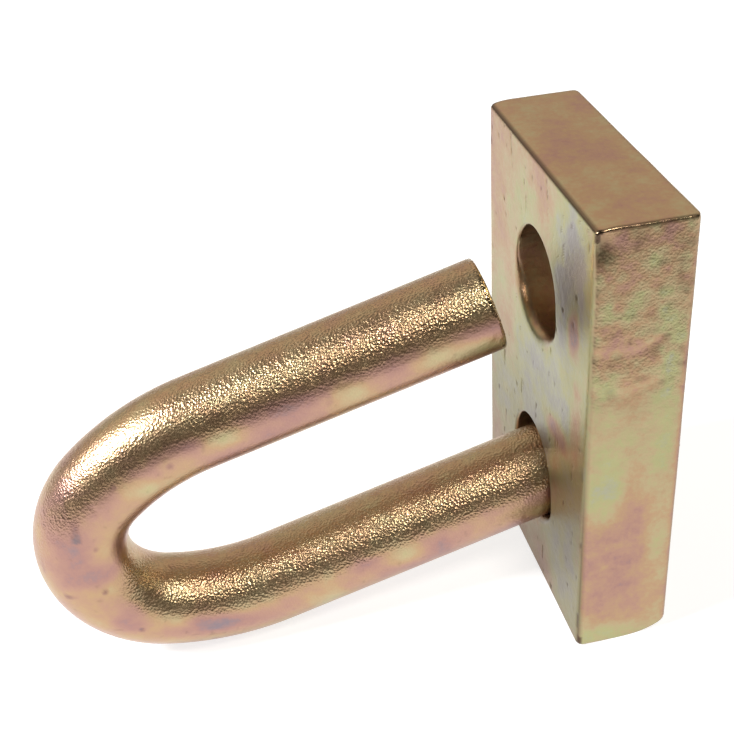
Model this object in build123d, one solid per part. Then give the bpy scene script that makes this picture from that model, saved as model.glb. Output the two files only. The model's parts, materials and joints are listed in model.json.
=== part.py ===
from build123d import *
import math
import os

# A pad eye in two pieces: a block of flat bar with two holes, and a U-shaped round bar.
# The long leg of the U stands loosely in the lower hole. The short leg closes the eye by
# entering the upper hole when the U is lifted square to the plate.
#
# Frame: millimetres, +Z up, +X into the wall that the plate is fixed to, origin at the middle
# of the plate's back face. The U stands out towards -X and the front face is at
# X = -plate_thickness.

# ---- driving dimensions: the plate ------------------------------------------------------------
plate_length = 81.0            # up and down, Z
plate_width = 50.0             # across, Y
plate_thickness = 16.0         # through, X
plate_edge_round = 1.2         # rolled edges of the flat bar
end_edge_round = 0.7           # deburred edges of the two sheared ends
top_roll_depth = 4.0           # the shear's roll-over at the top front edge, along X
top_roll_drop = 0.5            # the same roll-over, along Z
bottom_roll_depth = 9.0        # the roll-over at the bottom back edge, along X
bottom_roll_drop = 4.0         # the same roll-over, along Z

# ---- driving dimensions: the U-bar ------------------------------------------------------------
bar_diameter = 16.0
leg_spacing = 38.0             # between the two legs' centre lines
flank_radius = 41.0            # the bend's two flatter stretches, at the centre line
crown_tightening = 3.0         # how much tighter the bend's middle is than a plain half circle
leg_stand_out = 47.0           # plate's front face to the start of the bend, with the U square
long_leg_recess = 1.0          # long leg's end to the plate's back face, with the U square
short_leg_entry = 5.0          # how deep the short leg enters its hole, with the U square
cut_end_round = 0.6            # deburred edge of the two sawn ends

# ---- driving dimensions: the holes and the fit ------------------------------------------------
hole_play = 3.0                # hole diameter less bar diameter
hole_pair_offset = -0.7        # middle of the two holes above the middle of the plate
hole_mouth_round = 2.0         # rounded rim at the front of each hole
rim_clearance = 0.05           # bar's underside to the rim that it rocks on
roof_clearance = 0.15          # long leg's end to the roof of its hole, with the U hanging

# ---- sizes that follow ------------------------------------------------------------------------
hole_diameter = bar_diameter + hole_play
front_x = -plate_thickness
lower_hole_z = hole_pair_offset - leg_spacing / 2
upper_hole_z = hole_pair_offset + leg_spacing / 2

# The U rocks about the centre of the rounded rim under the lower hole, so that the bar's
# underside stays tangent to the rim all the way.
pivot_x = front_x + hole_mouth_round
pivot_z = lower_hole_z - hole_diameter / 2 - hole_mouth_round
axis_above_pivot = hole_mouth_round + rim_clearance + bar_diameter / 2

# Square, both legs stand in their holes.
lower_leg_z = pivot_z + axis_above_pivot
long_leg_end_x = -long_leg_recess
short_leg_end_x = front_x + short_leg_entry
bend_start_x = front_x - leg_stand_out

# Hanging, the top edge of the long leg's end stops under the roof of the hole:
#   rise * cos(droop) + run * sin(droop) = roof
rise = axis_above_pivot + bar_diameter / 2
run = long_leg_end_x - pivot_x
roof = hole_mouth_round + hole_diameter - roof_clearance
droop = math.degrees(math.atan2(run, rise) - math.acos(roof / math.hypot(rise, run)))

# The bend is a flank arc, a crown arc and a flank arc, tangent to each other and to both legs.
half_spacing = leg_spacing / 2
crown_radius = half_spacing - crown_tightening
flank_angle = math.degrees(math.acos((flank_radius - half_spacing) / (flank_radius - crown_radius)))
crown_angle = 180 - 2 * flank_angle


def is_sharp_corner(point):
    """True at the three corners where two faces meet at an angle: both at the front, and the top back."""
    at_front = point.X < front_x + end_edge_round
    at_top_back = point.X > -end_edge_round and point.Z > 0
    return at_front or at_top_back


def make_base_plate():
    """A block of flat bar, rolled over at two sheared corners, with the two holes."""
    top = plate_length / 2
    bottom = -plate_length / 2
    bottom_roll_centre = (-bottom_roll_depth, bottom + bottom_roll_drop)
    top_roll_start = (front_x + top_roll_depth, top)
    outline = Curve() + [
        Line(top_roll_start, (0, top)),
        Line((0, top), (0, bottom + bottom_roll_drop)),
        EllipticalCenterArc(bottom_roll_centre, bottom_roll_depth, bottom_roll_drop, 270),
        Line((-bottom_roll_depth, bottom), (front_x, bottom)),
        Line((front_x, bottom), (front_x, top - top_roll_drop)),
        TangentArc(top_roll_start, (front_x, top - top_roll_drop), tangent=(-1, 0)),
    ]
    block = extrude(Plane.XZ * make_face(outline), plate_width / 2, both=True)
    outer_edges = block.edges().filter_by(Axis.Y, reverse=True)
    sheared_edges = block.edges().filter_by(Axis.Y).filter_by(lambda edge: is_sharp_corner(edge @ 0))
    block = fillet(outer_edges + sheared_edges, end_edge_round)
    section = Pos(front_x / 2, 0, bottom) * RectangleRounded(plate_thickness, plate_width, plate_edge_round)
    block &= extrude(section, plate_length)
    for z in (lower_hole_z, upper_hole_z):
        block -= Pos(front_x / 2, 0, z) * Rot(0, 90, 0) * Cylinder(hole_diameter / 2, 2 * plate_thickness)
    rims = block.edges().filter_by(GeomType.CIRCLE).filter_by(lambda edge: edge.radius > bar_diameter / 2)
    return fillet(rims.sort_by(Axis.X)[:2], hole_mouth_round)


def make_u_bar():
    """The round bar, bent and cut to its two leg lengths, then turned down to where it hangs."""
    long_leg = Line((long_leg_end_x, lower_leg_z), (bend_start_x, lower_leg_z))
    lower_flank = JernArc(long_leg @ 1, long_leg % 1, flank_radius, -flank_angle)
    crown = JernArc(lower_flank @ 1, lower_flank % 1, crown_radius, -crown_angle)
    upper_flank = JernArc(crown @ 1, crown % 1, flank_radius, -flank_angle)
    short_leg = Line(upper_flank @ 1, (short_leg_end_x, lower_leg_z + leg_spacing))
    centre_line = Plane.XZ * (long_leg + lower_flank + crown + upper_flank + short_leg)
    section = Plane(centre_line @ 0, z_dir=centre_line % 0) * Circle(bar_diameter / 2)
    bar = sweep(section, centre_line)
    cut_edges = bar.faces().filter_by(GeomType.PLANE).edges()
    bar = fillet(cut_edges, cut_end_round)
    return bar.rotate(Axis((pivot_x, 0, pivot_z), (0, 1, 0)), -droop)


pieces = {"base_plate": make_base_plate(), "u_bar": make_u_bar()}

os.makedirs("parts", exist_ok=True)
for name, solid in pieces.items():
    export_step(solid, f"parts/{name}.step")

print(f"droop {droop:.3f} degrees about X {pivot_x:.3f}, Z {pivot_z:.3f}")
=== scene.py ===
# %% [markdown]
# # A pad eye in yellow-passivated zinc
#
# The object is boat hardware in two pieces: a block of flat bar with two holes, and a loose
# U-shaped round bar whose long leg stands in the lower hole. Both pieces are steel, plated with
# zinc and dipped in chromate, which leaves a thin film that shifts from grey to straw to pink.
#
# The engineering model is already made. This lesson loads it as a fixed frame, replaces both
# plain solids with surfaces that have the real pits, rolled corners and saw marks, and builds
# the plating as a material. All lengths are in metres, and `MM` turns millimetres into metres.

# %% Load the frame
import json
import math

import bmesh
import bpy
import numpy as np
from mathutils import Matrix, Quaternion, Vector


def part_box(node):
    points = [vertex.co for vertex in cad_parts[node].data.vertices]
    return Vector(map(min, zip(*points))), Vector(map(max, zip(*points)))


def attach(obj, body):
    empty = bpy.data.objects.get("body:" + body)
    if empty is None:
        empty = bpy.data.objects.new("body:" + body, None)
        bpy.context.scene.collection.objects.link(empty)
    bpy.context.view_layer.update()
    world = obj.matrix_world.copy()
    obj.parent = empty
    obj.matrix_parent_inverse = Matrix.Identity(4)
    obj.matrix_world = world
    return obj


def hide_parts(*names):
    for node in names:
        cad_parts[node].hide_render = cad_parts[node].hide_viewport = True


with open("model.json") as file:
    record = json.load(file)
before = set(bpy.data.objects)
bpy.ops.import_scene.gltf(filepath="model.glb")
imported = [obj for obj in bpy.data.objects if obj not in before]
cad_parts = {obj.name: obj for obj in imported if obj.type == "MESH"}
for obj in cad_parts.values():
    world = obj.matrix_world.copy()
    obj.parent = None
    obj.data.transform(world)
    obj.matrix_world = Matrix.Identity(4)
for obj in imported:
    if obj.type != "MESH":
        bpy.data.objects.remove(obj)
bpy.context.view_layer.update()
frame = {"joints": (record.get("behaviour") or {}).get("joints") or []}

MM = 0.001
hinge = frame["joints"][0]

# %% [markdown]
# ## Sizes read from the frame
#
# The plate's box gives its width, thickness and length. Its origin is the middle of the back
# face, so the front face is on the side of -X. The U hangs at the hinge's full range below
# square, so the same angle turns the bar's own straight drawing into its resting place.

# %% Plate and bar sizes
plate_low, plate_high = (np.array(corner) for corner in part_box("base_plate"))
front_x, back_x = plate_low[0], plate_high[0]
half_width = plate_high[1]
half_length = plate_high[2]
droop = math.radians(hinge["range_deg"][1])
pivot = np.array(hinge["pos_m"])

bar_radius = 8.0 * MM
hole_radius = 9.5 * MM
mouth_round = 2.0 * MM
back_chamfer = 0.5 * MM
leg_spacing = 38.0 * MM
lower_hole_z = pivot[2] + mouth_round + hole_radius
upper_hole_z = lower_hole_z + leg_spacing
middle_z = (lower_hole_z + upper_hole_z) / 2
print("plate, mm:", np.round((plate_high - plate_low) / MM, 2), "droop:", round(math.degrees(droop), 2))

# %% [markdown]
# ## Smooth noise in numpy
#
# Pits, ripples and waviness all start from one thing: a random value at each point of a coarse
# lattice, blended smoothly in between. It is worked out for all vertices at once. A seed keeps
# the result the same each time.

# %% Lattice noise
LATTICE = 32


def lattice_noise(points, scale, seed):
    """Noise from 0 to 1: the eight corner values of each lattice cell, blended with s*s*(3-2s)."""
    table = np.random.default_rng(seed).random((LATTICE, LATTICE, LATTICE))
    place = points / np.broadcast_to(scale, 3) + 100.0
    cell = np.floor(place).astype(int)
    s = place - cell
    s = s * s * (3 - 2 * s)
    total = np.zeros(len(points))
    for dx in (0, 1):
        for dy in (0, 1):
            for dz in (0, 1):
                weight = np.abs(1 - s - (dx, dy, dz)).prod(axis=1)
                corner = (cell + (dx, dy, dz)) % LATTICE
                total += weight * table[corner[:, 0], corner[:, 1], corner[:, 2]]
    return total


def smooth_step(low, high, value):
    """0 below low, 1 above high, and an S-curve in between."""
    t = np.clip((value - low) / (high - low), 0, 1)
    return t * t * (3 - 2 * t)


def bump_spot(points, centre, size):
    """1 at centre, falling to 0 as a bell curve whose widths along X, Y and Z are in size."""
    offset = (points - np.array(centre)) / np.array(size)
    return np.exp(-(offset ** 2).sum(axis=1))


sample = lattice_noise(np.arange(300).reshape(100, 3) * MM, 7 * MM, 1)
print("a hundred samples of the noise, from", round(sample.min(), 2), "to", round(sample.max(), 2))

# %% [markdown]
# ## From a grid of points to a piece
#
# Both pieces are grids: rows of points that go round or along. These helpers join a grid's
# points with four-cornered faces, turn the arrays into a mesh, push its surface inwards for pits
# and marks, and store numbers on it that the material reads. Pushing only inwards keeps each
# piece inside its engineering size.

# %% Grids to meshes
MERGE_DISTANCE = 0.004 * MM


def grid_quads(rows, columns):
    """Corner indices of every cell of a grid whose last column joins its first, row by row."""
    r = np.arange(rows - 1)[:, None]
    c = np.arange(columns)[None, :]
    right = (c + 1) % columns
    this_row, next_row = r * columns, (r + 1) * columns
    return np.stack([this_row + c, this_row + right, next_row + right, next_row + c], axis=-1)


def make_object(name, points, quads):
    """A mesh object from whole arrays: doubled points are merged and faces with no area dropped."""
    mesh = bpy.data.meshes.new(name)
    mesh.vertices.add(len(points))
    mesh.vertices.foreach_set("co", points.astype(np.float32).ravel())
    mesh.loops.add(quads.size)
    mesh.loops.foreach_set("vertex_index", quads.astype(np.int32).ravel())
    mesh.polygons.add(len(quads))
    mesh.polygons.foreach_set("loop_start", np.arange(len(quads), dtype=np.int32) * 4)
    mesh.update(calc_edges=True)
    working = bmesh.new()
    working.from_mesh(mesh)
    bmesh.ops.remove_doubles(working, verts=working.verts, dist=MERGE_DISTANCE)
    loose = [vertex for vertex in working.verts if not vertex.link_faces]
    bmesh.ops.delete(working, geom=loose, context="VERTS")
    bmesh.ops.recalc_face_normals(working, faces=working.faces)
    working.to_mesh(mesh)
    open_edges = sum(1 for edge in working.edges if len(edge.link_faces) != 2)
    working.free()
    mesh.polygons.foreach_set("use_smooth", np.ones(len(mesh.polygons), dtype=bool))
    piece = bpy.data.objects.new(name, mesh)
    bpy.context.scene.collection.objects.link(piece)
    print(name, "faces:", len(mesh.polygons), "edges not shared by two faces:", open_edges)
    return piece


def points_and_normals(piece):
    """The mesh's vertices and outward normals as two arrays."""
    mesh = piece.data
    points = np.empty(len(mesh.vertices) * 3, dtype=np.float32)
    mesh.vertices.foreach_get("co", points)
    normals = np.empty(len(mesh.vertices) * 3, dtype=np.float32)
    mesh.vertex_normals.foreach_get("vector", normals)
    return points.reshape(-1, 3).astype(float), normals.reshape(-1, 3).astype(float)


def push_in(piece, depth):
    """Moves every vertex inwards along its normal by its own depth, so the piece never grows."""
    points, normals = points_and_normals(piece)
    points -= normals * np.maximum(depth, 0)[:, None]
    piece.data.vertices.foreach_set("co", points.astype(np.float32).ravel())
    piece.data.update()


def paint(piece, name, values):
    """Stores one number per vertex, from 0 to 1, for the piece's material to read."""
    layer = piece.data.attributes.new(name, "FLOAT", "POINT")
    layer.data.foreach_set("value", np.clip(values, 0, 1).astype(np.float32))
    print(piece.name, name, "from", round(float(values.min()), 2), "to", round(float(values.max()), 2))


print("a grid of 3 rows by 4 has faces:", grid_quads(3, 4).reshape(-1, 4).tolist())

# %% [markdown]
# ## The plate as two square doughnuts
#
# A block with two holes can't be one grid, but half of it, around one hole, can: a closed
# profile goes from the middle of the bore, out round the mouth, across the face, down the outer
# wall, back across the rear face and into the bore again. Carried round the hole, that makes a
# square doughnut. The two halves meet where the walls between them are left out.

# %% The half plate's grid
RIM_STEP = 0.44 * MM
BORE_ROWS, MOUTH_ROWS, FACE_ROWS, WALL_ROWS, REAR_ROWS = 15, 7, 37, 34, 17


def outline_points(end_z):
    """Points round the half plate's outline in Y and Z, a step apart, and which are on the shared line."""
    corners = [(-half_width, middle_z), (half_width, middle_z), (half_width, end_z), (-half_width, end_z)]
    pieces, shared = [], []
    for index, start in enumerate(corners):
        end = corners[(index + 1) % 4]
        count = int(round(math.dist(start, end) / RIM_STEP))
        t = np.arange(count)[:, None] / count
        pieces.append(np.array(start) * (1 - t) + np.array(end) * t)
        shared.append(np.full(count, index == 0))
    return np.vstack(pieces), np.concatenate(shared)


def half_plate(hole_z, end_z):
    """One half of the plate, before its edges are rounded.

    Each column is one spoke from the hole's axis to the outline. Down the column the profile
    runs: bore, quarter-round mouth, front face, outer wall, rear face, and a chamfer to the bore.
    """
    outline, shared = outline_points(end_z)
    centre = np.array([0.0, hole_z])
    spoke = outline - centre
    reach = np.linalg.norm(spoke, axis=1)
    direction = spoke / reach[:, None]
    worn_below = smooth_step(0.1, -0.6, direction[:, 1])  # the bar rubs the mouth's lower side round
    mouth = mouth_round * (0.3 + 0.7 * worn_below)
    mouth_x = front_x + mouth
    rows_x, rows_radius = [], []

    def add(x, radius):
        rows_x.append(np.broadcast_to(x, reach.shape))
        rows_radius.append(np.broadcast_to(radius, reach.shape))

    for t in np.linspace(0, 1, BORE_ROWS, endpoint=False):
        add((back_x - back_chamfer) * (1 - t) + mouth_x * t, hole_radius)
    for angle in np.linspace(0, math.pi / 2, MOUTH_ROWS, endpoint=False):
        add(mouth_x - mouth * math.sin(angle), hole_radius + mouth * (1 - math.cos(angle)))
    for t in np.linspace(0, 1, FACE_ROWS, endpoint=False):
        add(front_x, (hole_radius + mouth) * (1 - t) + reach * t)
    for t in np.linspace(0, 1, WALL_ROWS, endpoint=False):
        add(front_x * (1 - t) + back_x * t, reach)
    for t in np.linspace(0, 1, REAR_ROWS):
        add(back_x, reach * (1 - t) + (hole_radius + back_chamfer) * t)
    x, radius = np.array(rows_x), np.array(rows_radius)
    yz = centre + radius[..., None] * direction
    points = np.dstack([x, yz]).reshape(-1, 3)
    rows, columns = x.shape
    quads = grid_quads(rows, columns)
    first_wall_row = BORE_ROWS + MOUTH_ROWS + FACE_ROWS
    keep = np.ones(quads.shape[:2], dtype=bool)
    keep[first_wall_row:first_wall_row + WALL_ROWS, shared] = False
    column = np.arange(columns)
    next_column = (column + 1) % columns
    last_row = (rows - 1) * columns
    chamfer = np.stack([last_row + column, last_row + next_column, next_column, column], axis=-1)
    return points, np.vstack([quads[keep], chamfer])


upper_points, upper_quads = half_plate(upper_hole_z, half_length)
lower_points, lower_quads = half_plate(lower_hole_z, -half_length)
all_points = np.vstack([upper_points, lower_points])
all_quads = np.vstack([upper_quads, lower_quads + len(upper_points)])
print("half plate points:", len(upper_points), len(lower_points))

# %% [markdown]
# ## Rolling and rounding the edges
#
# Hot-rolled flat bar has rounded long edges, and a shear rolls one corner of each cut end over
# before it snaps through. So three maps are applied to the block: the ends are squeezed down
# along an elliptical roll-over, the long edges are rounded in plan, and then what is left of
# the sharp end edges is softened.

# %% The roll-overs
long_edge_round = 1.2 * MM
end_edge_round = 0.6 * MM
top_roll_depth, top_roll_drop = 4.0 * MM, 0.5 * MM
bottom_roll_depth, bottom_roll_drop = 9.0 * MM, 4.0 * MM
top_stretch, bottom_stretch = 8.0 * MM, 9.0 * MM


def top_fall(distance):
    """How far the top falls away at a distance in from the front: a circle's arc, level where it starts."""
    radius = (top_roll_depth ** 2 + top_roll_drop ** 2) / (2 * top_roll_drop)
    along = np.clip(top_roll_depth - distance, 0, top_roll_depth)
    return radius - np.sqrt(radius ** 2 - along ** 2)


def bottom_rise(distance):
    """How far the bottom end rises at a distance in from the back: a quarter of an ellipse."""
    t = np.clip(1 - distance / bottom_roll_depth, 0, 1)
    return bottom_roll_drop * (1 - np.sqrt(1 - t * t))


def roll_ends(points):
    """Squeezes each end's outer stretch so that its corner follows the shear's roll-over."""
    near_top = np.clip((points[:, 2] - (half_length - top_stretch)) / top_stretch, 0, 1)
    near_bottom = np.clip((-points[:, 2] - (half_length - bottom_stretch)) / bottom_stretch, 0, 1)
    points[:, 2] -= near_top * top_fall(points[:, 0] - front_x)
    points[:, 2] += near_bottom * bottom_rise(back_x - points[:, 0])
    return points


print("roll-over at the top front and bottom back edges, mm:",
      round(float(top_fall(0.0)) / MM, 2), round(float(bottom_rise(0.0)) / MM, 2))

# %% Rounding the long edges
TINY = 1e-12
plate_middle = np.array([(front_x + back_x) / 2, 0.0])
inner_half = np.array([(back_x - front_x) / 2, half_width]) - long_edge_round


def round_long_edges(points):
    """Rounds the four upright edges: the excess over an inner rectangle is shortened to the radius."""
    plan = points[:, :2] - plate_middle
    core = np.clip(plan, -inner_half, inner_half)
    excess = plan - core
    length = np.maximum(np.linalg.norm(excess, axis=1), TINY)
    at_corner = (np.abs(excess) > 1e-9).all(axis=1)
    scale = np.where(at_corner, np.abs(excess).max(axis=1) / length, 1.0)
    points[:, :2] = core + excess * scale[:, None] + plate_middle
    return points


def inset_from_sides(points):
    """How far in from the plate's rounded plan outline each point is, and the outward direction there."""
    plan = points[:, :2] - plate_middle
    past_inner = np.abs(plan) - inner_half
    furthest = past_inner.max(axis=1)
    outside = np.linalg.norm(np.maximum(past_inner, 0), axis=1)
    inset = long_edge_round - outside - np.minimum(furthest, 0)
    nearest_side = (past_inner >= furthest[:, None]).astype(float)
    outward = np.where(furthest[:, None] > 0, np.maximum(past_inner, 0), nearest_side)
    outward /= np.maximum(np.linalg.norm(outward, axis=1), TINY)[:, None]
    return np.maximum(inset, 0), outward * np.sign(plan)


def soften_ends(points):
    """Rounds the edges of the two sheared ends: both insets are pulled onto a small quarter circle."""
    inset, outward = inset_from_sides(points)
    fall = half_length - np.abs(points[:, 2])
    short_inset, short_fall = end_edge_round - inset, end_edge_round - fall
    at_edge = (short_inset > 0) & (short_fall > 0)
    length = np.maximum(np.hypot(short_inset, short_fall), TINY)
    scale = np.where(at_edge, np.maximum(short_inset, short_fall) / length, 1.0)
    new_inset = np.where(at_edge, end_edge_round - short_inset * scale, inset)
    new_fall = np.where(at_edge, end_edge_round - short_fall * scale, fall)
    points[:, :2] -= outward * (new_inset - inset)[:, None]
    points[:, 2] = np.sign(points[:, 2]) * (half_length - new_fall)
    return points


all_points = roll_ends(soften_ends(round_long_edges(all_points)))
plate = make_object("plate_block", all_points, all_quads)

# %% [markdown]
# ## Pits, hammer marks and mill scale
#
# The surface was never machined. The near edge of the bar has a rough, beaten upper third, the
# front has fine upright pits from rolling, and one corner has a shallow scoop under it. Each is
# a depth in millimetres over the whole plate, and the sum is pushed inwards.

# %% Plate relief
points, normals = points_and_normals(plate)
from_upper_hole = np.hypot(points[:, 1], points[:, 2] - upper_hole_z)
on_side = smooth_step(0.6, 0.95, np.abs(normals[:, 1]))
on_near_side = on_side * (points[:, 1] < 0)
on_front = smooth_step(0.6, 0.95, -normals[:, 0]) * (from_upper_hole > hole_radius)
beaten_from = points[:, 2] + 3 * MM * lattice_noise(points, 6 * MM, 3)
beaten = smooth_step(8 * MM, 16 * MM, beaten_from) * on_side

waviness = 0.05 * lattice_noise(points, 7 * MM, 1)
ripples = lattice_noise(points, (1.1 * MM, 3.0 * MM, 0.9 * MM), 2)
coarse = lattice_noise(points, (4.0 * MM, 4.0 * MM, 2.2 * MM), 4)
hammered = beaten * (0.07 * ripples + 0.06 * coarse)
tall_specks = lattice_noise(points, (1 * MM, 0.55 * MM, 2.6 * MM), 5)
upright_pits = 0.14 * on_front * smooth_step(0.90, 0.98, tall_specks)
round_specks = lattice_noise(points, (0.9 * MM, 2 * MM, 0.7 * MM), 6)
side_pits = 0.14 * on_side * smooth_step(0.80, 0.95, round_specks) * (0.25 + 0.75 * beaten)
near_corner = (front_x + 1.1 * MM, -half_width, half_length - 3.2 * MM)
scoop = 0.7 * bump_spot(points, near_corner, (1.9 * MM, 3.0 * MM, 2.2 * MM)) * on_near_side


def lip(height, bow, middle_x):
    """A shallow step across the near side: a dip that starts sharply below a bowed line and fades out."""
    line = height * MM + bow * MM * ((points[:, 0] - middle_x * MM) / (5 * MM)) ** 2
    below = (line - points[:, 2] + 0.8 * MM * coarse) / (1.1 * MM)
    reach = smooth_step(7 * MM, 4 * MM, np.abs(points[:, 0] - middle_x * MM))
    return np.where(below > 0, below * np.exp(1 - below), 0) * reach * on_near_side


lips = 0.22 * lip(19.0, 1.5, -11.0) + 0.16 * lip(12.0, 1.2, -10.0)
relief = (waviness + hammered + upright_pits + side_pits + scoop + lips) * MM
push_in(plate, relief)
print("deepest relief on the plate, mm:", round(relief.max() / MM, 3))

# %% [markdown]
# ## Where the film is thick, where it is stained and where shade is painted
#
# The dip leaves a film that drains and dries unevenly, so each face has its own broad patches.
# They are painted as one number per vertex: 0 is the thinnest film, which is grey, and 1 the
# thickest, which is a dull purple, with yellow-green, straw and pink between them. A second
# number darkens the stains, and also holds painted shade: dark edge lines, pits, the scoop,
# the bore, the near side and the lower front.
#
# The front and the near side have patches that are all their own, so each has a short list of
# bell-shaped spots. The rest is left to noise.

# %% The patches of film on the plate
FRONT_ZONES = [  # middle Y, middle Z, width, height in mm; film; strength
    (0, -4, 24, 15, 0.10, 0.85), (5, 31, 6, 6, 0.30, 0.8), (12, 24, 3, 5, 0.32, 0.6),
    (-16, 25, 7, 15, 0.0, 1.3), (-18, 19, 2.5, 5, 0.93, 0.8), (-15, 3, 9, 6, 0.06, 0.8),
    (-20, 3, 2.4, 9, 0.62, 0.9), (-12, -4, 5, 2.6, 0.95, 0.9), (-12, -12, 2.5, 7, 0.58, 0.8),
    (-18, -28, 8, 12, 0.12, 0.9), (14, 0, 7, 8, 0.78, 0.6), (0, 2, 9, 5, 0.10, 0.6),
    (16, -14, 8, 8, 0.14, 0.6),
]
NEAR_ZONES = [  # middle X, middle Z, width, height in mm; film; strength
    (-3.0, 8, 2.3, 20, 0.33, 0.95), (-9, -21, 8, 12, 0.80, 1.1), (-12, 3, 4, 12, 0.40, 0.7),
    (-9, -39, 12, 3, 0.34, 0.8), (-13, -8, 3, 6, 0.16, 0.6), (-7, 28, 6, 9, 0.36, 0.6),
    (-3, -20, 2.5, 8, 0.34, 0.6), (-9, 20, 4, 3, 0.76, 0.7), (-4, 34, 3, 4, 0.76, 0.6),
    (-0.3, 0, 0.7, 50, 0.84, 0.7),
]


def lay_zones(film, zones, across, where, seed):
    """Blends each zone's film value into film with a bell-shaped weight, made ragged by noise."""
    ragged = 0.55 + 0.9 * lattice_noise(points, 3.2 * MM, seed)
    for middle_across, middle_up, width, height, value, strength in zones:
        off_across = (across / MM - middle_across) / width
        off_up = (points[:, 2] / MM - middle_up) / height
        bell = np.exp(-off_across ** 2 - off_up ** 2)
        weight = np.clip(strength * bell * ragged * 1.3, 0, 1) * where
        film = film * (1 - weight) + value * weight
    return film


facing_front = smooth_step(0.5, 0.9, -normals[:, 0])
facing_up = smooth_step(0.5, 0.9, normals[:, 2])
near_half = points[:, 1] < 0
from_lower_hole = np.hypot(points[:, 1], points[:, 2] - lower_hole_z)
from_bore = np.minimum(from_upper_hole, from_lower_hole)
in_bore = (from_bore < hole_radius + 0.35 * MM) & (points[:, 0] > front_x + 0.5 * MM)
drift = lattice_noise(points, 9 * MM, 21) - 0.5
film = 0.60 + 0.34 * drift
film = film * (1 - facing_up) + (0.58 + 0.36 * drift) * facing_up
film = lay_zones(film, FRONT_ZONES, points[:, 1], facing_front, 22)
film = lay_zones(film, NEAR_ZONES, points[:, 0], on_near_side, 23)
film = np.where(in_bore, 0.60, film)
speckle = lattice_noise(points, 1.7 * MM, 25) - 0.5
film += 0.45 * speckle * beaten * near_half
paint(plate, "film", film)

# %% The plate's stains, painted shade and worn edges
on_an_edge = np.abs(normals).max(axis=1) < 0.93
edge_inset, _ = inset_from_sides(points)
at_long_edge = smooth_step(1.3 * MM, 0.3 * MM, edge_inset) * on_an_edge
at_end_edge = on_an_edge & (np.abs(points[:, 2]) > half_length - 2.2 * MM)
# Painted shade: a dark line along the front end edges; at_long_edge darkens the long edges too.
front_end_edge_shade = at_end_edge & (points[:, 0] < front_x + 1.5 * MM)
top_near_edge = at_end_edge & (points[:, 1] < -half_width + 1.5 * MM) & (points[:, 2] > 0)
beaten_spots = smooth_step(0.62, 0.85, lattice_noise(points, 1.4 * MM, 24)) * beaten * near_half
# Painted shade: the shallow scoop under the near corner is darkened.
scoop_shade = bump_spot(points, near_corner, (1.6 * MM, 3.0 * MM, 2.2 * MM)) * on_near_side
# The bore gets streaky mottling that also darkens it as painted shade.
bore_streaks_and_shade = in_bore * (0.02 + 0.26 * lattice_noise(points, (3 * MM, 0.7 * MM, 0.9 * MM), 26))
# Painted shade: the front is darkened, more towards the bottom.
lower_front_shade = facing_front * (0.16 + 0.42 * smooth_step(18 * MM, -22 * MM, points[:, 2]))
beside_hole = bump_spot(points, (front_x, -17 * MM, 21 * MM), (4 * MM, 6 * MM, 10 * MM)) * facing_front

stain_and_shade = 0.55 * front_end_edge_shade + 0.25 * at_long_edge + 0.30 * beaten_spots + 0.55 * scoop_shade
# Painted shade: the pits are darkened in step with their depth.
stain_and_shade += bore_streaks_and_shade + 3.0 * upright_pits + 1.6 * side_pits
# Painted shade: the whole near side is darkened a little.
stain_and_shade += 0.09 * on_near_side + lower_front_shade + 0.26 * beside_hole
paint(plate, "stain_and_shade", stain_and_shade)
paint(plate, "worn", 0.5 * at_long_edge + 1.0 * top_near_edge)
paint(plate, "coarse", 0.25 + 0.75 * beaten * near_half)

# %% [markdown]
# ## The U-bar as a profile carried along a path
#
# The bar's centre line is a straight leg, a flat arc, a tight arc, another flat arc and a
# second leg. A circle carried along it makes the bar. Its two ends are sawn square, so the
# circle shrinks along a small rounded edge and then to a point in the middle of the cut.

# %% The centre line
flank_radius = 41.0 * MM
crown_radius = 16.0 * MM
leg_stand_out = 47.0 * MM
long_leg_entry = 15.0 * MM
short_leg_entry = 5.0 * MM
rim_clearance = 0.05 * MM
FINE_STEPS = 40000

leg_height = mouth_round + rim_clearance + bar_radius
leg_start = mouth_round - long_leg_entry
bend_start = mouth_round + leg_stand_out
short_leg_end = mouth_round - short_leg_entry
flank_angle = math.acos((flank_radius - leg_spacing / 2) / (flank_radius - crown_radius))


def centre_line(step):
    """Points along the U's centre line and the directions there, from the pivot and with level legs.

    A straight run has one direction, and an arc's direction turns evenly, so the direction is
    known for every distance along the line and the points are its running sum.
    """
    runs = [
        (bend_start - leg_start, 0.0),
        (flank_radius * flank_angle, 1 / flank_radius),
        (crown_radius * (math.pi - 2 * flank_angle), 1 / crown_radius),
        (flank_radius * flank_angle, 1 / flank_radius),
        (bend_start - short_leg_end, 0.0),
    ]
    length = sum(run for run, _ in runs)
    distance = np.linspace(0, length, int(round(length / step)) + 1)
    starts = np.cumsum([0] + [run for run, _ in runs])
    turned = np.concatenate([[0], np.cumsum([run * curve for run, curve in runs])])
    angle = np.interp(distance, starts, turned)
    fine = np.linspace(0, length, FINE_STEPS + 1)
    fine_angle = np.interp(fine, starts, turned)
    middles = (fine_angle[1:] + fine_angle[:-1]) / 2
    steps = np.diff(fine)[:, None] * np.stack([np.cos(middles), np.sin(middles)], axis=1)
    sums = np.vstack([[0, 0], np.cumsum(steps, axis=0)])
    out = leg_start + np.interp(distance, fine, sums[:, 0])
    up = leg_height + np.interp(distance, fine, sums[:, 1])
    return distance, out, up, angle


distance, out, up, angle = centre_line(0.36 * MM)
bar_length = distance[-1]
print("bar length along its middle, mm:", round(bar_length / MM, 1))

# %% The bar's surface
RING, EDGE_ROWS, DISC_ROWS = 140, 6, 17
cut_round = 0.6 * MM


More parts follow.
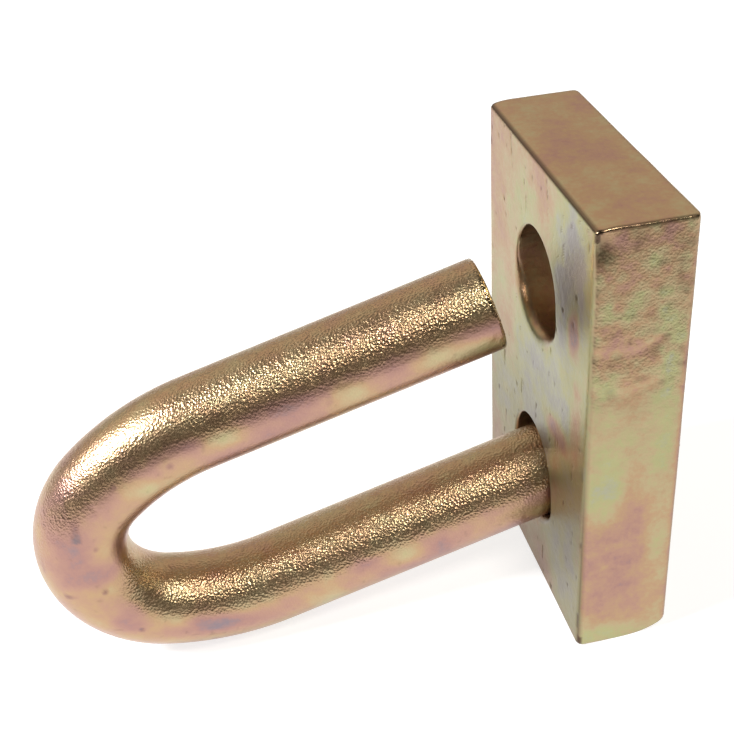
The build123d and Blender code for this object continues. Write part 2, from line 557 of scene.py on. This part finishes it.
def bar_surface():
    """Rings round the centre line, closed at both ends by rings that shrink to a point.

    A ring's point is the centre line's point, plus radius times the cosine of the angle outwards
    in the bend's plane, plus radius times the sine of the angle across it.
    """
    turn = np.linspace(0, math.pi / 2, EDGE_ROWS, endpoint=False)
    edge_radius = bar_radius - cut_round * (1 - np.sin(turn))
    edge_along = cut_round * (1 - np.cos(turn))
    disc_radius = np.linspace(0, bar_radius - cut_round, DISC_ROWS, endpoint=False)
    body = distance[(distance > cut_round * 1.02) & (distance < bar_length - cut_round * 1.02)]
    along = np.concatenate([
        np.zeros(DISC_ROWS), edge_along, [cut_round], body,
        [bar_length - cut_round], bar_length - edge_along[::-1], np.full(DISC_ROWS, bar_length)])
    radius = np.concatenate([
        disc_radius, edge_radius, np.full(len(body) + 2, bar_radius), edge_radius[::-1], disc_radius[::-1]])
    line_out, line_up, line_angle = (np.interp(along, distance, values) for values in (out, up, angle))
    around = np.arange(RING) * 2 * math.pi / RING
    outwards = radius[:, None] * np.cos(around)
    ring_out = line_out[:, None] + outwards * np.sin(line_angle)[:, None]
    ring_up = line_up[:, None] - outwards * np.cos(line_angle)[:, None]
    ring_across = radius[:, None] * np.sin(around)
    points = np.dstack([-ring_out, ring_across, ring_up]).reshape(-1, 3)
    return points, grid_quads(len(along), RING).reshape(-1, 4)


bar_points, bar_quads = bar_surface()
u_bar = make_object("round_bar", bar_points, bar_quads)

# %% [markdown]
# ## Marks on the bar, and turning it down
#
# Bending squeezes the inside of the bend into faint wrinkles, the bar's skin has long drawn lines
# and a few dents, and the saw left lines on both cut ends. They are pushed in while the bar is
# still square to the plate, because its legs then lie along X. After that the whole mesh is
# turned about the hinge to where the bar hangs.

# %% Bar relief
points, normals = points_and_normals(u_bar)
past_legs = smooth_step(bend_start, bend_start + 12 * MM, -points[:, 0])
inside_of_bend = past_legs * smooth_step(-0.2, -0.9, -normals[:, 0])
drawn_lines = 0.012 * lattice_noise(points, (9 * MM, 0.9 * MM, 0.9 * MM), 11)
wrinkles = 0.05 * inside_of_bend * lattice_noise(points, (1.5 * MM, 2.5 * MM, 1.5 * MM), 12)
dents = 0.05 * smooth_step(0.80, 0.97, lattice_noise(points, 1.3 * MM, 13))
on_cut = smooth_step(0.8, 0.98, normals[:, 0]) * smooth_step(-4 * MM, -2.0 * MM, points[:, 0])
saw_swing = points[:, 2] / (0.42 * MM) + 3 * lattice_noise(points, 4 * MM, 14)
saw_marks = 0.035 * on_cut * (0.5 + 0.5 * np.sin(saw_swing))
relief = (drawn_lines + wrinkles + dents + saw_marks) * MM
push_in(u_bar, relief)
print("deepest relief on the bar, mm:", round(relief.max() / MM, 3))

# %% Turning the bar down to where it hangs
on_short_leg = points[:, 2] > leg_height + leg_spacing / 2
distance_to_end = np.abs(points[:, 0] + np.where(on_short_leg, short_leg_end, leg_start))
turn_down = Matrix.Translation(Vector(pivot)) @ Matrix.Rotation(-droop, 4, "Y")
u_bar.data.transform(turn_down)
bar_low, bar_high = (np.array(corner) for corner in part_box("u_bar"))
points, normals = points_and_normals(u_bar)
print("bar's lowest corner off by, mm:", np.round((points.min(axis=0) - bar_low) / MM, 3))
print("bar's highest corner off by, mm:", np.round((points.max(axis=0) - bar_high) / MM, 3))

# %% [markdown]
# ## The bar's film
#
# The bar hung in the chromate, so the liquid ran down to its underside and dried there in a
# smoother and thicker film, pink with a few red spots. The sides kept a plain gold with a coarse
# grain. The direction that each point faces says which of the two it has.

# %% The bar's film and stains
lowest_first = -0.80 * normals[:, 2] - 0.40 * normals[:, 1]
drained = smooth_step(0.02, 0.30, lowest_first + 0.20 * (lattice_noise(points, 5 * MM, 31) - 0.5))
in_bend = smooth_step(bend_start + 4 * MM, bend_start + 22 * MM, pivot[0] - points[:, 0])
patches = lattice_noise(points, (7 * MM, 4 * MM, 4 * MM), 32) - 0.5
film = 0.59 + 0.12 * patches
film = film * (1 - drained) + (0.69 + 0.55 * patches) * drained
outer_bend = in_bend * smooth_step(0.1, 0.6, -normals[:, 0] - 0.3 * normals[:, 2])
film = film * (1 - outer_bend) + (0.70 + 0.36 * patches) * outer_bend
red_spots = smooth_step(0.84, 0.93, lattice_noise(points, 2.4 * MM, 33)) * (0.3 + 0.7 * in_bend)
film += 0.16 * red_spots * drained
fine_specks = smooth_step(0.85, 0.97, lattice_noise(points, 1.1 * MM, 34))
cut_rim = (distance_to_end < 1.0 * MM) & (np.abs(normals).max(axis=1) < 0.97)
paint(u_bar, "film", film)
paint(u_bar, "worn", cut_rim.astype(float))
paint(u_bar, "coarse", (1 - 0.78 * drained) * (1 - 0.35 * in_bend) * (1 - 0.6 * on_cut))
paint(u_bar, "stain_and_shade", 0.35 * red_spots * drained + 0.25 * fine_specks)

# %% [markdown]
# ## The plating
#
# Yellow passivation is a metal whose colour comes from a film a few hundred nanometres thick.
# Where the film is thicker the colour runs on from grey through straw and pink to purple. A
# colour ramp over a slowly changing thickness gives that order. Painting each colour by hand
# would lose the bands that a drying film leaves. First come a few helpers that add one node each.

# %% Node helpers
def feed(tree, socket, value):
    """Gives a node's input a number, a colour, or another node's output."""
    if isinstance(value, (int, float)):
        socket.default_value = value
    elif isinstance(value, tuple):
        socket.default_value = (*value, 1)
    else:
        tree.links.new(value, socket)


def new_group(name, inputs, outputs):
    """An empty shader node group with its sockets, and its input and output nodes."""
    tree = bpy.data.node_groups.new(name, "ShaderNodeTree")
    for socket, kind, value in inputs:
        made = tree.interface.new_socket(name=socket, in_out="INPUT", socket_type=kind)
        if value is not None:
            made.default_value = value
    for socket, kind in outputs:
        tree.interface.new_socket(name=socket, in_out="OUTPUT", socket_type=kind)
    return tree, tree.nodes.new("NodeGroupInput").outputs, tree.nodes.new("NodeGroupOutput").inputs


def add_noise(tree, vector, scale, detail, roughness):
    """A noise texture on a vector. Scale is in cycles per metre."""
    node = tree.nodes.new("ShaderNodeTexNoise")
    for name, value in (("Vector", vector), ("Scale", scale), ("Detail", detail), ("Roughness", roughness)):
        feed(tree, node.inputs[name], value)
    return node.outputs["Fac"]


def add_math(tree, operation, first, second, clamp=False):
    """A math node on two numbers or outputs."""
    node = tree.nodes.new("ShaderNodeMath")
    node.operation = operation
    node.use_clamp = clamp
    feed(tree, node.inputs[0], first)
    feed(tree, node.inputs[1], second)
    return node.outputs["Value"]


def add_range(tree, value, low, high):
    """Maps low..high to 0..1 with a smooth step, held at both ends."""
    node = tree.nodes.new("ShaderNodeMapRange")
    node.interpolation_type = "SMOOTHSTEP"
    for name, number in (("Value", value), ("From Min", low), ("From Max", high)):
        feed(tree, node.inputs[name], number)
    return node.outputs["Result"]


def add_ramp(tree, value, stops):
    """A colour ramp through (position, colour) stops."""
    node = tree.nodes.new("ShaderNodeValToRGB")
    elements = node.color_ramp.elements
    while len(elements) < len(stops):
        elements.new(0.5)
    for element, (position, colour) in zip(elements, stops):
        element.position = position
        element.color = (*colour, 1)
    feed(tree, node.inputs["Fac"], value)
    return node.outputs["Color"]


def add_mix(tree, factor, first, second):
    """Mixes two colours by a factor."""
    node = tree.nodes.new("ShaderNodeMix")
    node.data_type = "RGBA"
    colour_inputs = node.inputs[6], node.inputs[7]
    for socket, value in zip((node.inputs[0], *colour_inputs), (factor, first, second)):
        feed(tree, socket, value)
    return node.outputs[2]


# %% The film's colours
FILM_STOPS = [
    (0.00, (0.35, 0.34, 0.33)),
    (0.18, (0.41, 0.41, 0.30)),
    (0.34, (0.44, 0.43, 0.22)),
    (0.48, (0.48, 0.39, 0.23)),
    (0.62, (0.48, 0.32, 0.19)),
    (0.76, (0.45, 0.27, 0.205)),
    (0.88, (0.40, 0.23, 0.20)),
    (1.00, (0.27, 0.21, 0.23)),
]


STAIN_AND_SHADE_COLOUR = (0.10, 0.065, 0.045)


def make_film_group():
    """Film thickness with cloudy and fine changes, as the film's colour. Stains and painted shade mix a dark
    brown in.
    """
    tree, given, result = new_group(
        "passivation_film",
        [("Vector", "NodeSocketVector", None), ("Thickness", "NodeSocketFloat", 0.5),
         ("Stain", "NodeSocketFloat", 0.0), ("Clouds", "NodeSocketFloat", 0.3),
         ("Fine", "NodeSocketFloat", 0.1)],
        [("Color", "NodeSocketColor")],
    )
    clouds = add_noise(tree, given["Vector"], 290.0, 4.0, 0.58)
    fine = add_noise(tree, given["Vector"], 1300.0, 3.0, 0.6)
    cloud_shift = add_math(tree, "MULTIPLY", add_math(tree, "SUBTRACT", clouds, 0.5), given["Clouds"])
    fine_shift = add_math(tree, "MULTIPLY", add_math(tree, "SUBTRACT", fine, 0.5), given["Fine"])
    shift = add_math(tree, "ADD", cloud_shift, fine_shift)
    thickness = add_math(tree, "ADD", given["Thickness"], shift, clamp=True)
    colour = add_ramp(tree, thickness, FILM_STOPS)
    feed(tree, result["Color"], add_mix(tree, given["Stain"], colour, STAIN_AND_SHADE_COLOUR))
    return tree


film_group = make_film_group()
print("node group:", film_group.name, "with nodes:", len(film_group.nodes))

# %% [markdown]
# ## The grain
#
# Up close the plating sparkles: the zinc grew as crystals about half a millimetre across, over a
# softer orange peel. Cells and two noises add up to one height. Both materials use the same
# group, with their own amounts of each.

# %% The grain
def make_grain_group():
    """Fine sparkle and softer orange peel added as one height, and a roughness that drifts."""
    tree, given, result = new_group(
        "plating_grain",
        [("Vector", "NodeSocketVector", None), ("Grain", "NodeSocketFloat", 1.0),
         ("Peel", "NodeSocketFloat", 1.0), ("Roughness", "NodeSocketFloat", 0.3)],
        [("Height", "NodeSocketFloat"), ("Roughness", "NodeSocketFloat")],
    )
    cells = tree.nodes.new("ShaderNodeTexVoronoi")
    feed(tree, cells.inputs["Scale"], 2300.0)
    feed(tree, cells.inputs["Vector"], given["Vector"])
    ragged = add_noise(tree, given["Vector"], 3300.0, 1.0, 0.5)
    grain = add_math(tree, "ADD", cells.outputs["Distance"], add_math(tree, "MULTIPLY", ragged, 0.5))
    grain_height = add_math(tree, "MULTIPLY", grain, given["Grain"])
    peel = add_noise(tree, given["Vector"], 700.0, 2.0, 0.5)
    peel_height = add_math(tree, "MULTIPLY", peel, given["Peel"])
    feed(tree, result["Height"], add_math(tree, "ADD", grain_height, peel_height))
    patch = add_noise(tree, given["Vector"], 260.0, 3.0, 0.6)
    drift = add_math(tree, "MULTIPLY", add_math(tree, "SUBTRACT", patch, 0.5), 0.12)
    feed(tree, result["Roughness"], add_math(tree, "ADD", given["Roughness"], drift))
    return tree


grain_group = make_grain_group()
print("node group:", grain_group.name, "with nodes:", len(grain_group.nodes))

# %% [markdown]
# ## One plating, two finishes
#
# Both pieces had the same bath, so one function makes both materials. The bar is smoother and
# glossier, with strong sparkle. The flat bar of the plate is duller, with more orange peel and
# cloudier colour. Worn edges are a little glossier on both.

# %% A plating material
WORN_GLOSS = -0.20


def place_group(tree, group, vector, **values):
    """A copy of a node group in a material, with its own values."""
    node = tree.nodes.new("ShaderNodeGroup")
    node.node_tree = group
    feed(tree, node.inputs["Vector"], vector)
    for socket, value in values.items():
        feed(tree, node.inputs[socket], value)
    return node.outputs


def read_paint(tree, name):
    """The number that was painted on the mesh under this name."""
    node = tree.nodes.new("ShaderNodeAttribute")
    node.attribute_name = name
    return node.outputs["Fac"]


def make_plating(name, clouds, fine, grain, peel, roughness, reach):
    """A metal Principled shader with the film as its colour and the grain as its bump and roughness."""
    material = bpy.data.materials.new(name)
    material.use_nodes = True
    tree = material.node_tree
    shader = tree.nodes["Principled BSDF"]
    shader.inputs["Metallic"].default_value = 1.0
    place = tree.nodes.new("ShaderNodeTexCoord").outputs["Object"]
    film = place_group(tree, film_group, place, Clouds=clouds, Fine=fine,
                       Thickness=read_paint(tree, "film"), Stain=read_paint(tree, "stain_and_shade"))
    coarse_grain = add_math(tree, "MULTIPLY", read_paint(tree, "coarse"), grain)
    worn_gloss = add_math(tree, "MULTIPLY", read_paint(tree, "worn"), WORN_GLOSS)
    texture = place_group(tree, grain_group, place, Grain=coarse_grain, Peel=peel,
                          Roughness=add_math(tree, "ADD", worn_gloss, roughness))
    bump = tree.nodes.new("ShaderNodeBump")
    feed(tree, bump.inputs["Distance"], reach)
    feed(tree, bump.inputs["Height"], texture["Height"])
    feed(tree, shader.inputs["Base Color"], film["Color"])
    feed(tree, shader.inputs["Roughness"], texture["Roughness"])
    feed(tree, shader.inputs["Normal"], bump.outputs["Normal"])
    return material


bar_plating = make_plating(
    "bar_yellow_zinc", clouds=0.38, fine=0.12, grain=1.0, peel=0.2, roughness=0.32, reach=0.095 * MM)
plate_plating = make_plating(
    "plate_yellow_zinc", clouds=0.50, fine=0.34, grain=0.75, peel=1.1, roughness=0.40, reach=0.06 * MM)
u_bar.data.materials.append(bar_plating)
plate.data.materials.append(plate_plating)
print("materials:", bar_plating.name, plate_plating.name)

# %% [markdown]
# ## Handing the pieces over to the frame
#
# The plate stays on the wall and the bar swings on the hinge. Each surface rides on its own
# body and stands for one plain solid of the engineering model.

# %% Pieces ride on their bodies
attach(plate, "plate")
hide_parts("base_plate")
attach(u_bar, "bar")
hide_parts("u_bar")
print("pieces on their bodies:", plate.name, u_bar.name)

# %% [markdown]
# ## Floor, light and camera
#
# The object rests on the bend and on the plate's lower end, so the white table passes through
# both. The metal has hardly any look of its own: it shows the table below it, a dim room with a
# warm wall behind, and two small lights. The table gives off some light, so that it stays white
# without a strong lamp, and it turns grey towards the viewer, which darkens the metal's near side.

# %% Floor
FLOOR_SIZE = 3.0
grey_until, white_from = -0.155, -0.125
lowest_on_bar = points[points[:, 2].argmin()]
floor_slope = (lowest_on_bar[2] + half_length) / (lowest_on_bar[0] - front_x)
floor_level = -half_length - 0.05 * MM
floor_corners = [
    (FLOOR_SIZE * x, FLOOR_SIZE * y, floor_level + floor_slope * (FLOOR_SIZE * x - front_x))
    for x, y in ((-1, -1), (1, -1), (1, 1), (-1, 1))]
floor_mesh = bpy.data.meshes.new("floor")
floor_mesh.from_pydata(floor_corners, [], [(0, 1, 2, 3)])
floor = bpy.data.objects.new("floor", floor_mesh)
bpy.context.scene.collection.objects.link(floor)

paper = bpy.data.materials.new("white_paper")
paper.use_nodes = True
paper_tree = paper.node_tree
paper_shader = paper_tree.nodes["Principled BSDF"]
floor_place = paper_tree.nodes.new("ShaderNodeSeparateXYZ")
feed(paper_tree, floor_place.inputs["Vector"], paper_tree.nodes.new("ShaderNodeTexCoord").outputs["Object"])
white_part = add_range(paper_tree, floor_place.outputs["Y"], grey_until, white_from)
paper_colour = add_mix(paper_tree, white_part, (0.30, 0.29, 0.28), (0.42, 0.42, 0.42))
feed(paper_tree, paper_shader.inputs["Base Color"], paper_colour)
feed(paper_tree, paper_shader.inputs["Roughness"], 0.9)
feed(paper_tree, paper_shader.inputs["Emission Color"], (1.0, 1.0, 1.0))
feed(paper_tree, paper_shader.inputs["Emission Strength"], add_math(paper_tree, "MULTIPLY", white_part, 0.76))
floor_mesh.materials.append(paper)
print("floor slope, degrees:", round(math.degrees(math.atan(floor_slope)), 2))

# %% [markdown]
# ## Two lights and a room
#
# A warm lamp stands high on the viewer's side and picks out the grain along the bar. A window
# light, high at the bend's end, makes the soft streak on the bend. The room is dark on the
# viewer's side and has a warm bright band half way up the wall behind.

# %% Lights
def add_area(name, place, aim, size, power, colour=(1, 1, 1)):
    """A square soft light at place, facing aim."""
    light = bpy.data.lights.new(name, "AREA")
    light.shape = "SQUARE"
    light.size = size
    light.energy = power
    light.color = colour
    lamp = bpy.data.objects.new(name, light)
    lamp.location = place
    lamp.rotation_euler = (aim - Vector(place)).to_track_quat("-Z", "Y").to_euler()
    bpy.context.scene.collection.objects.link(lamp)
    print("light:", name, "watts:", power)


object_middle = Vector((-45 * MM, 0, 0))
add_area("lamp", (0.08, -0.50, 0.80), object_middle, size=0.20, power=3.9, colour=(1, 0.95, 0.86))
add_area("window", (-0.86, -0.06, 0.60), object_middle, size=0.24, power=13.0)

# %% The room
world = bpy.data.worlds.new("room")
bpy.context.scene.world = world
world.use_nodes = True
room = world.node_tree
direction = room.nodes.new("ShaderNodeSeparateXYZ")
feed(room, direction.inputs["Vector"], room.nodes.new("ShaderNodeTexCoord").outputs["Generated"])
behind = add_range(room, direction.outputs["Y"], -0.15, 0.65)
back_wall = add_ramp(room, direction.outputs["Z"], [
    (0.0, (0.24, 0.23, 0.22)),
    (0.25, (0.46, 0.42, 0.37)),
    (0.52, (1.10, 0.96, 0.78)),
    (0.85, (0.32, 0.31, 0.30)),
])
room_colour = add_mix(room, behind, (0.085, 0.078, 0.066), back_wall)
feed(room, room.nodes["Background"].inputs["Color"], room_colour)
print("room made with nodes:", len(room.nodes))

# %% [markdown]
# ## The camera
#
# A long lens close to the object, above it and turned to its near side. The camera is given by
# where it stands, the point that it looks at and a small roll. The shift slides the picture to
# frame the object without turning the camera, which would change the perspective.

# %% Camera
eye = Vector((-75.3, -168.7, 123.6)) * MM
looks_at = Vector((-43.6, 30.0, 0.0)) * MM
roll = math.radians(-4.5)

camera_data = bpy.data.cameras.new("camera")
camera_data.sensor_width = 36.0
camera_data.lens = 61.23
camera_data.shift_x = 0.0345
camera_data.shift_y = -0.075
camera = bpy.data.objects.new("camera", camera_data)
facing = (looks_at - eye).to_track_quat("-Z", "Y") @ Quaternion((0, 0, 1), roll)
camera.location = eye
camera.rotation_euler = facing.to_euler()

scene = bpy.context.scene
scene.collection.objects.link(camera)
scene.camera = camera
scene.view_settings.view_transform = "Standard"
print("camera stands from the point it looks at, mm:", round((looks_at - eye).length / MM))
